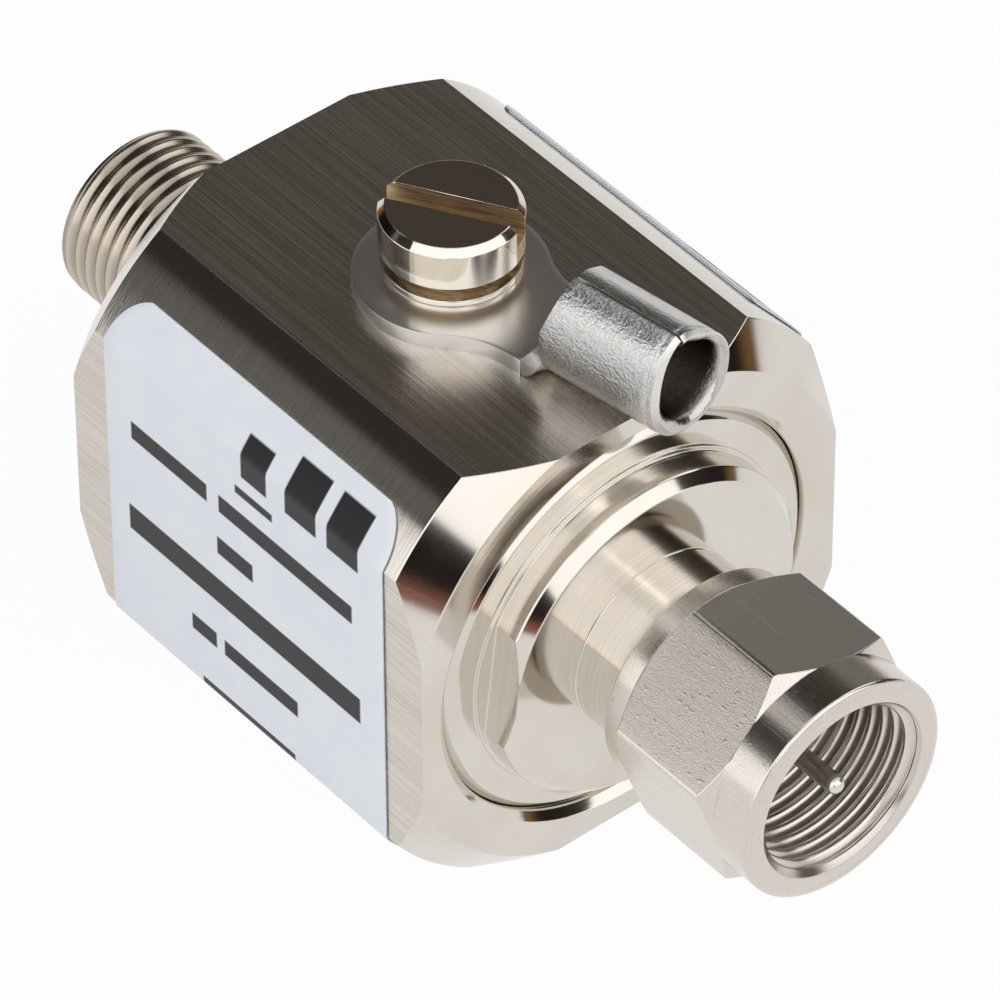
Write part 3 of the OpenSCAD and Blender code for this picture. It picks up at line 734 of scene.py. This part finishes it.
def make_nut():
    """Coupling nut: a hexagon between two cones, a round nose and collar, and a thread cut into its bore,
    which runs out through the countersunk mouth."""
    corners_at = np.arange(6) * 60 + NUT_CORNER_AT
    near = np.array([-1.2, -0.6, -0.25, 0, 0.25, 0.6, 1.2])
    angles = np.concatenate([np.arange(0, 360, 2.5), (corners_at[:, None] + near).ravel()])
    angles = np.unique(np.round(angles % 360, 4))
    from_flat = np.radians((angles - NUT_CORNER_AT) % 60 - 30)
    soft = NUT_CORNER_SOFT
    corner_r = NUT_HALF / np.cos(np.pi / 6) - NUT_CORNER_CUT
    hexagon = -soft * np.logaddexp(-NUT_HALF / np.cos(from_flat) / soft, -corner_r / soft)
    back, end = NUT_LOW[0], NUT_HIGH[0]
    hex_back, hex_front = back + NUT_BACK_LEN, end - NUT_NOSE_LEN
    lip = NUT_NOSE_R - NUT_LIP_ROUND
    bottom = back + NUT_LIP
    mouth = end - (NUT_MOUTH_R - NUT_CREST_R)
    outside = [(back, NUT_LIP_R), (back, NUT_BACK_R), (hex_back, NUT_BACK_R),
               (hex_back + (hexagon - NUT_BACK_R) * NUT_RISE, hexagon),
               (hex_front - np.maximum(hexagon - NUT_NOSE_R, 0) * NUT_RISE, hexagon), (hex_front, NUT_NOSE_R)]
    turn = np.radians(np.linspace(0, 90, 9))[:-1]
    shoulder = [(end - NUT_NOSE_ROUND + NUT_NOSE_ROUND * np.sin(t), lip + NUT_LIP_ROUND * np.cos(t))
                for t in turn]
    inside = [(end - LIP_LINE, lip + LIP_LINE), (end, lip - LIP_LINE), (end, NUT_MOUTH_R),
              (mouth, NUT_CREST_R)]
    rest = [(bottom, NUT_CREST_R), (bottom, NUT_LIP_R)]
    corners = columns(outside + shoulder + inside + rest, angles)
    profile = rounded(corners, NUT_EDGE, steps=3)
    x = np.arange(end - NUT_EDGE, bottom + 2 * NUT_EDGE, -PITCH / PITCH_STEPS)[:, None] + 0 * angles
    groove = sharp_thread(x, angles, NUT_THREAD_DEPTH, NUT_CREST_SHARE, NUT_THREAD_AT)
    groove = groove * np.clip((x - bottom) / PITCH, 0, 1)
    cut = np.stack([x, NUT_CREST_R + np.maximum(groove, x - mouth)], -1)
    last = 3 * (len(corners) - len(rest))
    profile = np.concatenate([profile[: last - 3], cut, profile[last:]])

    def pick(middle, unit):
        return np.hypot(middle[:, 1], middle[:, 2] - AXIS[2]) < NUT_MOUTH_R

    finishes = [material(satin_nut), material(nut_thread)]
    points, quads = about_coax(profile, angles), grid_quads(*profile.shape[:2])
    piece("coupling_nut_threaded", points, quads, finishes, "nut", ["coupling_nut"], pick)


def make_jack():
    """Threaded jack: the thread runs over the barrel from its chamfered end to the body."""
    angles = np.arange(0, 360, 2.5)
    end, inner = JACK_LOW[0], JACK_HIGH[0]
    corners = [(BACK, SHANK_R), (inner, SHANK_R), (inner, JACK_BORE_R), (end, JACK_BORE_R),
               (end, JACK_R - JACK_CHAMFER - JACK_FACE_STEP)]
    profile = rounded(columns(corners, angles), EDGE, steps=3)
    x = np.arange(end, BACK, PITCH / PITCH_STEPS)[:, None] + 0 * angles
    chamfer = np.maximum(JACK_CHAMFER - (x - end), 0)
    r = JACK_R - np.maximum(chamfer, soft_thread(x, angles, JACK_WAVE, JACK_THREAD_AT))
    barrel = np.stack([x, r], -1)
    profile = np.concatenate([profile, barrel, columns([(BACK, JACK_R - JACK_THREAD_DEPTH)], angles)])
    points, quads = about_coax(profile, angles), grid_quads(*profile.shape[:2])
    finishes = [material(jack_thread)]
    piece("jack_threaded", points, quads, finishes, "arrestor", ["jack_barrel"])


def make_conductor():
    """Centre conductor with its round-ended pin: a turned profile that closes on the axis at both ends."""
    angles = np.arange(0, 360, 7.5)
    spigot = FRONT - COLLAR_SINK - COLLAR_T - SPIGOT_LEN
    end = FRONT + DISC_FACE + NECK_LEN + POST_LEN
    tip = PIN_HIGH[0]
    chamber = BACK + REAR_WALL
    turn = np.radians(np.linspace(0, 90, 12))
    ball = [(tip - PIN_R + PIN_R * np.sin(t), PIN_R * np.cos(t)) for t in turn]
    corners = [(PIN_LOW[0], 0), (PIN_LOW[0], TAIL_R), (chamber, TAIL_R), (chamber, CONDUCTOR_R),
               (spigot, CONDUCTOR_R), (spigot, PIN_ROOT_R), (end, PIN_ROOT_R), (end, PIN_R), *ball]
    profile = columns(corners, angles)
    profile = np.concatenate([profile[:1], rounded(profile, PIN_EDGE, steps=3)[3:-3], profile[-1:]])
    points, quads = about_coax(profile, angles), grid_quads(*profile.shape[:2], loop_rows=False)
    finishes = [material(pin_with_tip_highlight)]
    piece("conductor_turned", points, quads, finishes, "arrestor", ["centre_conductor"])


def make_screw():
    """Slotted screw and its washer. Each column of the screw runs along the slot's floor, up its wall, over
    the chamfered top and down the side. The wall stands where the column's own radius reaches the slot's half
    width over the sine of its angle."""
    top = SCREW_HIGH[2]
    floor = top - SLOT_DEPTH
    under = top - HEAD_H
    base = under - SHOULDER_H
    flat = HEAD_R - HEAD_CHAMFER
    reach = np.concatenate([np.linspace(HEAD_R, flat, 6), np.linspace(flat, 1.2, 12)[1:], [0.9, 0.7, 0.62]])
    wall_angles = np.degrees(np.arcsin(SLOT_HALF / reach))
    limit = wall_angles[0]
    half = np.concatenate([wall_angles, np.linspace(wall_angles[-1], 90, 4)[1:], np.linspace(0, limit, 5)])
    quarter = np.concatenate([half, 180 - half])
    turn = np.unique(np.round(np.concatenate([quarter, -quarter, np.arange(0, 360, 4)]) % 360, 5))
    sine = np.maximum(np.abs(np.sin(np.radians(turn))), 1e-6)
    wall = np.minimum(SLOT_HALF / sine, HEAD_R)
    rise = np.where(SLOT_HALF / sine >= HEAD_R - 1e-4, floor, top - np.maximum(wall - flat, 0))
    edge = np.where(rise > floor, top - HEAD_CHAMFER, floor)
    corners = [(floor, 0), (floor, wall), (rise, wall), (rise, np.maximum(wall, flat)), (edge, HEAD_R),
               (floor, HEAD_R), (under, HEAD_R), (under, SHOULDER_R), (base, SHOULDER_R), (base, SCREW_R),
               (SCREW_LOW[2], SCREW_R), (SCREW_LOW[2], 0)]
    profile = columns(corners, turn)
    profile = np.concatenate([profile[:1], rounded(profile, SCREW_EDGE, steps=3)[3:-3], profile[-1:]])
    points, quads = about_screw(profile, turn + SLOT_TURN), grid_quads(*profile.shape[:2], loop_rows=False)
    finishes = [material(screw_plate)]
    piece("earth_screw_slotted", points, quads, finishes, "arrestor", ["earth_screw"])
    hole = SCREW_R + WASHER_FIT
    low, high = WASHER_LOW[2], WASHER_HIGH[2]
    ring = columns([(low, hole), (low, WASHER_R), (high, WASHER_R), (high, hole)], turn)
    ring = rounded(ring, WASHER_EDGE)
    points, quads = about_screw(ring, turn), grid_quads(*ring.shape[:2])
    piece("washer_turned", points, quads, finishes, "arrestor", ["screw_washer"])


def lug_reach(angles):
    """Distance from the ring's centre to the lug's outline: the neck's end line, its straight side, the curve
    from the neck to the ring, and the ring itself, in turn as the angle from the lug's heading grows."""
    a = np.radians(np.abs(angles))
    line = BARREL_START - LUG_ROLL_LEN
    cy = LUG_NECK_HALF + LUG_FILLET
    cx = np.sqrt((LUG_RING_R + LUG_FILLET) ** 2 - cy**2)
    along = cx * np.cos(a) + cy * np.sin(a)
    curve = along - np.sqrt(np.maximum(along**2 - cx**2 - cy**2 + LUG_FILLET**2, 0))
    side = LUG_NECK_HALF / np.maximum(np.sin(a), 1e-6)
    reach = np.where(a < np.arctan2(cy, cx), curve, LUG_RING_R)
    reach = np.where(a < np.arctan2(LUG_NECK_HALF, cx), side, reach)
    return np.where(a <= np.arctan2(LUG_NECK_HALF, line) + 1e-9, line / np.cos(a), reach)


def mouth_share(u):
    """Share of the sheet's thickness that is left: whole, then less over the last stretch up to the mouth."""
    t = np.clip((u - BARREL_START - BARREL_LEN + MOUTH_BEVEL) / MOUTH_BEVEL, 0, 1)
    return 1 - (1 - MOUTH_RIM) * t**1.3


def seam_form(turn):
    """Rise of the barrel's wall towards its seam, and how far it is pressed in, at a turn from its bottom."""
    a = (turn - np.radians(SEAM_TURN)) % (2 * np.pi) - np.pi
    half = np.cos(a / 2)
    rise = np.where(a > 0, SEAM_RISE * half**SEAM_FADE, SEAM_LOW_RISE * half**SEAM_LOW_FADE)
    return rise, np.where(a > 0, 0, BARREL_PRESS * (np.sin(a) * half) ** 2)


def rear_end(v):
    """Start of the barrel along the lug: upright, then slanted towards the mouth above half its radius."""
    turn = v / SHEET_R
    up = -np.cos(turn - np.radians(SEAM_TURN)) * (SHEET_R + seam_form(turn)[0])
    return BARREL_START + np.maximum(up - BARREL_R / 2, 0) * np.tan(np.radians(REAR_SLANT))


def rolled(u, v):
    """Middle of the lug's sheet: flat up to the neck's end, then rolled to the barrel's curve over the roll's
    length. Across the sheet the point is (sin(kv) / k, (1 - cos(kv)) / k) with k the curve there. The wall
    rises towards the seam, by a power of the cosine of half the angle from it, more on the left than on the
    right, and is pressed in on the right, where its inside stays round. At the mouth the thinned wall keeps
    its outside. The fourth value is the share of the sheet's thickness."""
    t = np.clip((u - BARREL_START + LUG_ROLL_LEN) / LUG_ROLL_LEN, 0, 1)
    roll = t * t * (3 - 2 * t)
    k = np.maximum(roll, 1e-4) / SHEET_R
    turn = v * k
    rise, press = seam_form(turn)
    share = mouth_share(u) - roll * press / LUG_T
    swell = roll * (rise - press) + (1 - share) * LUG_T / 2
    y = np.sin(turn) / k + swell * np.sin(turn) - BARREL_SHIFT * roll
    z = (1 - np.cos(turn)) / k - swell * np.cos(turn) + LUG_T / 2
    return np.stack([u, y, z, share], -1)


def make_lug():
    """Ring lug: one sheet in three patches, a ring about the screw, a neck and a rolled barrel, then given
    its thickness and rounded edges."""
    line = BARREL_START - LUG_ROLL_LEN
    neck_half = np.degrees(np.arctan2(LUG_NECK_HALF, line))
    neck = np.linspace(-neck_half, neck_half, 17)
    around = np.concatenate([neck, np.linspace(neck_half, 60, 22)[1:], np.linspace(60, 300, 66)[1:-1],
                             np.linspace(300, 360 - neck_half, 22)[:-1]])
    reach = lug_reach((around + 180) % 360 - 180)
    share = np.linspace(0, 1, 9)[:, None]
    r = LUG_HOLE_R + share * (reach - LUG_HOLE_R)
    a = np.radians(around)
    ring = np.stack([r * np.cos(a), r * np.sin(a), np.full_like(r, LUG_T / 2), np.ones_like(r)], -1)
    across = line * np.tan(np.radians(neck))
    along = np.linspace(line, BARREL_START, 10)[:, None]
    bend = rolled(along + 0 * across, across + 0 * along)
    gap = np.degrees(SEAM_GAP / 2 / SHEET_R)
    low, high = np.radians([-180 + SEAM_TURN + gap, 180 + SEAM_TURN - gap]) * SHEET_R
    wide = np.concatenate([np.linspace(low, across[0], 44)[:-1], across,
                           np.linspace(across[-1], high, 56)[1:]])
    mouth = BARREL_START + BARREL_LEN - MOUTH_BEVEL * np.linspace(1, 0, 6)[:, None]
    start = rear_end(wide)
    u = np.concatenate([start + np.linspace(0, 1, 18)[:-1, None] * (mouth[0] - start), mouth + 0 * start])
    barrel = rolled(u, wide + 0 * u)
    points, quads = [], []
    for patch, loop in ((ring, True), (bend, False), (barrel, False)):
        quads.append(grid_quads(*patch.shape[:2], loop_rows=False, loop_cols=loop) + sum(map(len, points)))
        points.append(patch.reshape(-1, 4))
    points, whole, thin = weld(np.concatenate(points), np.concatenate(quads))
    points, share = points[:, :3], np.round(points[:, 3], 2)
    turn = Matrix.Rotation(np.radians(LUG_TURN), 3, "Z")
    points = (points + LUG_SLIP) @ np.array(turn).T + [SCREW_AT[0], SCREW_AT[1], LUG_LOW[2]]
    mesh = bpy.data.meshes.new("ring_lug_rolled")
    mesh.from_pydata((points * MM).tolist(), [], whole.tolist() + thin.tolist())
    mesh.polygons.foreach_set("use_smooth", np.ones(len(mesh.polygons), bool))
    mesh.materials.append(material(tin_plate))
    mesh.materials.append(material(stamped_edge))
    obj = bpy.data.objects.new("ring_lug_rolled", mesh)
    bpy.context.scene.collection.objects.link(obj)
    group = obj.vertex_groups.new(name="thickness")
    for value in np.unique(share):
        group.add(np.flatnonzero(share == value).tolist(), float(value), "REPLACE")
    sheet = obj.modifiers.new("sheet", "SOLIDIFY")
    sheet.thickness, sheet.offset = LUG_T * MM, 0
    sheet.vertex_group, sheet.material_offset_rim = group.name, 1
    edges = obj.modifiers.new("edges", "BEVEL")
    edges.width, edges.segments = LUG_EDGE * MM, 3
    edges.limit_method, edges.angle_limit = "ANGLE", np.radians(40)
    obj.modifiers.new("normals", "WEIGHTED_NORMAL")
    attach(obj, "arrestor")
    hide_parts("ring_lug")


def make_label(name, node, side, finish):
    """Wrap-round label: the body's section carried along X between two ends that are rounded at the corners,
    as an outer skin, a thin edge and an inner skin."""
    angles = np.linspace(-LABEL_REACH, LABEL_REACH, 121)
    radius = body_radius(angles)
    top = (BODY_R + LABEL_LIFT + LABEL_T) * np.sin(np.radians(LABEL_REACH))
    z = radius * np.sin(np.radians(angles))
    past = np.clip(np.abs(z) - (top - LABEL_CORNER), 0, LABEL_CORNER)
    half = LABEL_LEN / 2 - LABEL_CORNER + np.sqrt(np.maximum(LABEL_CORNER**2 - past**2, 0))
    share = np.linspace(-1, 1, LABEL_COLUMNS)
    t = np.concatenate([share, share[::-1]])[:, None]
    lift = LABEL_LIFT + np.repeat([LABEL_T, 0], LABEL_COLUMNS)[:, None]
    a = np.radians(angles)
    x = (FRONT + BACK) / 2 + t * half
    y = side * (radius + lift) * np.cos(a) + 0 * t
    z = (radius + lift) * np.sin(a) + AXIS[2] + 0 * t
    points = np.stack([x, y, z], -1)
    quads = grid_quads(*points.shape[:2], loop_cols=False)
    rows, cols = points.shape[:2]
    i = np.arange(LABEL_COLUMNS - 1)
    first = np.stack([i, i + 1, rows - 2 - i, rows - 1 - i], -1) * cols
    quads = np.concatenate([quads, first, first[:, ::-1] + cols - 1])
    piece(name, points, quads, [finish], "arrestor", [node])


def dress_inner_pieces():
    """Finishes of the pieces that keep their own solids."""
    finishes = {
        white_insulator: ["plug_insulator", "line_bead", "jack_insulator"],
        contact_bronze: ["jack_contact", "contact_spring"],
        inner_steel: ["retaining_ring", "lower_electrode", "upper_electrode"],
        tube_ceramic: ["gas_tube_ceramic"],
        seal_rubber: ["flange_seal"],
    }
    for build, nodes in finishes.items():
        made = material(build)
        for node in nodes:
            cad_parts[node].data.materials.clear()
            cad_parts[node].data.materials.append(made)


# Studio
CAMERA_AIM = np.array([1.28, 0.42, 12.68])
CAMERA_DISTANCE = 412
CAMERA_AZIMUTH = -39.41
CAMERA_ELEVATION = 42.92
CAMERA_ROLL = 0.28
CAMERA_LENS = 310.18
FLOOR_REACH = 3
FLOOR_DROP = 0.02


def direction(azimuth, elevation):
    """Unit vector at an azimuth from +X towards +Y and an elevation above the floor."""
    a, e = np.radians([azimuth, elevation])
    return np.array([np.cos(a) * np.cos(e), np.sin(a) * np.cos(e), np.sin(e)])


def make_camera():
    """Camera on the line from the aim point at the photograph's viewing angle."""
    data = bpy.data.cameras.new("photo_camera")
    data.lens, data.sensor_width = CAMERA_LENS, 36
    data.clip_start, data.clip_end = 0.01, 20
    back = Vector(direction(CAMERA_AZIMUTH, CAMERA_ELEVATION))
    turn = back.to_track_quat("Z", "Y").to_matrix() @ Matrix.Rotation(np.radians(-CAMERA_ROLL), 3, "Z")
    obj = bpy.data.objects.new("photo_camera", data)
    place = Vector((CAMERA_AIM + CAMERA_DISTANCE * np.array(back)) * MM)
    obj.matrix_world = Matrix.Translation(place) @ turn.to_4x4()
    bpy.context.scene.collection.objects.link(obj)
    bpy.context.scene.camera = obj


def make_floor():
    """Large pale floor, a hair below the part. What looks at it, or mirrors it, sees mostly its own white,
    and the rest is lit, so that the part's shadow stays."""
    low, high, z = -FLOOR_REACH, FLOOR_REACH, -FLOOR_DROP * MM
    mesh = bpy.data.meshes.new("studio_floor")
    mesh.from_pydata([(low, low, z), (high, low, z), (high, high, z), (low, high, z)], [], [(0, 1, 2, 3)])
    made = bpy.data.materials.new("pale_floor")
    f = Finish(made)
    lit = f.node("BsdfDiffuse", {}, {"Color": (0.86, 0.86, 0.86, 1)})
    white = f.node("Emission", {}, {"Color": (1, 1, 1, 1), "Strength": 1.0})
    rays = ("Is Camera Ray", "Is Glossy Ray", "Is Transmission Ray")
    camera, glossy, through = [f.node("LightPath", output=ray) for ray in rays]
    seen = (0.96 * camera).greater(0.75 * glossy.greater(through))
    f.end(f.node("MixShader", {}, {0: seen, 1: lit, 2: white}), "Material")
    mesh.materials.append(made)
    floor = bpy.data.objects.new("studio_floor", mesh)
    bpy.context.scene.collection.objects.link(floor)


def make_lamp(name, place, back, width, height, radiance):
    """Soft box at a place, turned from the direction back; its power gives the radiance over its area."""
    data = bpy.data.lights.new(name, "AREA")
    data.shape, data.size, data.size_y = "RECTANGLE", width, height
    data.energy = radiance * np.pi * width * height
    obj = bpy.data.objects.new(name, data)
    turn = Vector(back).to_track_quat("Z", "Y").to_matrix().to_4x4()
    obj.matrix_world = Matrix.Translation(Vector(place + AXIS * MM)) @ turn
    bpy.context.scene.collection.objects.link(obj)


def make_card(name, azimuth, elevation, distance, width, height, radiance):
    """Soft box that faces the part."""
    back = direction(azimuth, elevation)
    make_lamp(name, back * distance, back, width, height, radiance)


def make_panel(name, azimuths, elevations, distance, radiance):
    """Upright soft box that spans a range of azimuths, and of elevations at its middle, as the part sees
    it."""
    back = direction(sum(azimuths) / 2, 0)
    low, high = distance * np.tan(np.radians(elevations))
    width = 2 * distance * np.tan(np.radians((azimuths[1] - azimuths[0]) / 2))
    make_lamp(name, back * distance + np.array([0, 0, (low + high) / 2]), back, width, high - low, radiance)


def make_world():
    """Dim room: warm at the floor's edge, nearly black above it, a dark grey higher up and a dark ceiling.
    Past the floor's edge the camera sees plain white."""
    world = bpy.data.worlds.new("dim_room")
    bpy.context.scene.world = world
    f = Finish(world)
    at = f.node("TexCoord", output="Generated")
    up = f.part(at, 2)
    right = f.part(at, 1).step(-0.4, 0.4)
    stops = [(0.0, (0.012, 0.009, 0.008)), (0.24, (0.02, 0.016, 0.013)), (0.5, (0.05, 0.04, 0.034)),
             (0.7, (0.065, 0.055, 0.047)), (0.82, (0.025, 0.02, 0.016)), (1.0, (0.012, 0.01, 0.008))]
    dark = f.node("ValToRGB", {"stops": stops}, {0: up})
    left = f.mix(up.step(0.3, 0.6), (0.008, 0.006, 0.006), (0.035, 0.031, 0.029))
    warm = f.mix(right, (0.24, 0.09, 0.06), (0.17, 0.095, 0.035))
    colour = f.mix(1 - up.step(0.04, 0.13), f.mix(right, left, dark), warm)
    colour = f.mix(f.node("LightPath", output="Is Camera Ray"), colour, (1, 1, 1))
    f.end(f.node("Background", {}, {"Color": colour, "Strength": 1.0}), "World")


make_camera()
make_flange(make_body())
make_nut()
make_jack()
make_conductor()
make_screw()
make_lug()
label_finish = material(label_film)
make_label("left_label_wrapped", "left_label", -1, label_finish)
make_label("right_label_wrapped", "right_label", 1, label_finish)
dress_inner_pieces()
make_floor()
make_panel("front_right_box", (-31, 48), (4, 60), 0.6, 1.35)
make_panel("right_box", (62, 104), (28, 62), 0.6, 1.35)
make_panel("front_box", (-44, -31), (23, 60), 0.6, 1.35)
make_panel("front_left_box", (-105, -44), (1, 60), 0.6, 1.35)
make_panel("left_box", (-128.2, -105), (1, 28), 0.6, 1.3)
make_panel("left_card", (-137, -128), (18, 36), 0.62, 0.13)
make_card("rear_left_card", -160, 53, 0.6, 0.2, 0.12, 0.8)
make_card("rear_right_card", 133, 20, 0.7, 0.5, 0.4, 0.16)
make_card("overhead_box", -40, 84, 0.6, 0.6, 0.45, 0.85)
make_world()
bpy.context.scene.view_settings.view_transform = "Standard"
